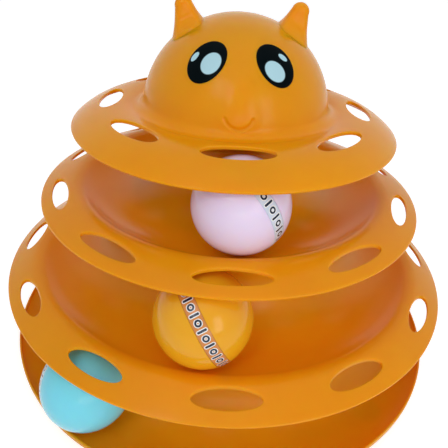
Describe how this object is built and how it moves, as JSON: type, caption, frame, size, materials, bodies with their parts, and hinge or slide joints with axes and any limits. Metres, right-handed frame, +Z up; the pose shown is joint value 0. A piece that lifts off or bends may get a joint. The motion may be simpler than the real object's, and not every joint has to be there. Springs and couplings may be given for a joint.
{
  "type": "cat ball track toy",
  "caption": "Round tower of stacked ball tracks under a cat-head cover, with a ball that rolls round each track and paw holes through the brims.",
  "frame": {"origin": "on the tower's axis, on the surface that the feet stand on", "axes": "+Z up along the tower's axis, the cat face looks along -Y, +X to the right as one looks at the face"},
  "size_m": [0.25, 0.25, 0.1944],
  "materials": {
    "tower_plastic": "moulded polypropylene, glossy",
    "eye_film": "printed glossy sticker",
    "blue_ball_plastic": "moulded, glossy, slightly translucent",
    "orange_ball_plastic": "moulded, glossy, slightly translucent",
    "pink_ball_plastic": "moulded, glossy, slightly translucent",
    "band_film": "printed film label",
    "bell_brass": "stamped and tumbled",
    "pellet_steel": "plain",
    "foot_rubber": "soft, matt"
  },
  "bodies": {
    "base": {"base_track": "tower_plastic", "rubber_feet": "foot_rubber"},
    "lower": {"lower_track": "tower_plastic"},
    "middle": {"middle_track": "tower_plastic"},
    "cover": {"top_cover": "tower_plastic", "left_eye": "eye_film", "right_eye": "eye_film"},
    "blue_bell": {"blue_ball_bell": "bell_brass", "blue_ball_pellet": "pellet_steel"},
    "blue_ball": {"blue_ball_left_half": "blue_ball_plastic", "blue_ball_right_half": "blue_ball_plastic", "blue_ball_band": "band_film"},
    "orange_bell": {"orange_ball_bell": "bell_brass", "orange_ball_pellet": "pellet_steel"},
    "orange_ball": {"orange_ball_left_half": "orange_ball_plastic", "orange_ball_right_half": "orange_ball_plastic", "orange_ball_band": "band_film"},
    "pink_bell": {"pink_ball_bell": "bell_brass", "pink_ball_pellet": "pellet_steel"},
    "pink_ball": {"pink_ball_left_half": "pink_ball_plastic", "pink_ball_right_half": "pink_ball_plastic", "pink_ball_band": "band_film"}
  },
  "joints": [
    {"name": "lower_lift", "type": "slide", "parent": "base", "child": "lower", "axis": [0, 0, 1], "range_m": [0, 0.06]},
    {"name": "middle_lift", "type": "slide", "parent": "lower", "child": "middle", "axis": [0, 0, 1], "range_m": [0, 0.06]},
    {"name": "cover_lift", "type": "slide", "parent": "middle", "child": "cover", "axis": [0, 0, 1], "range_m": [0, 0.06]},
    {"name": "blue_orbit", "type": "hinge", "parent": "base", "child": "blue_bell", "pos_m": [0, 0, 0.0283], "axis": [0, 0, 1], "continuous": true},
    {"name": "blue_roll", "type": "hinge", "parent": "blue_bell", "child": "blue_ball", "pos_m": [-0.06638, -0.08557, 0.0283], "axis": [-0.6129, -0.7902, 0], "continuous": true},
    {"name": "orange_orbit", "type": "hinge", "parent": "lower", "child": "orange_bell", "pos_m": [0, 0, 0.07634], "axis": [0, 0, 1], "continuous": true},
    {"name": "orange_roll", "type": "hinge", "parent": "orange_bell", "child": "orange_ball", "pos_m": [-0.01133, -0.08724, 0.07634], "axis": [-0.1288, -0.9917, 0], "continuous": true},
    {"name": "pink_orbit", "type": "hinge", "parent": "middle", "child": "pink_bell", "pos_m": [0, 0, 0.11888], "axis": [0, 0, 1], "continuous": true},
    {"name": "pink_roll", "type": "hinge", "parent": "pink_bell", "child": "pink_ball", "pos_m": [0.00292, -0.06195, 0.11888], "axis": [0.0471, -0.9989, 0], "continuous": true}
  ],
  "couplings": [
    {"joint": "blue_roll", "follows": "blue_orbit", "ratio": -4.9227},
    {"joint": "orange_roll", "follows": "orange_orbit", "ratio": -3.9989},
    {"joint": "pink_roll", "follows": "pink_orbit", "ratio": -2.8191}
  ]
}
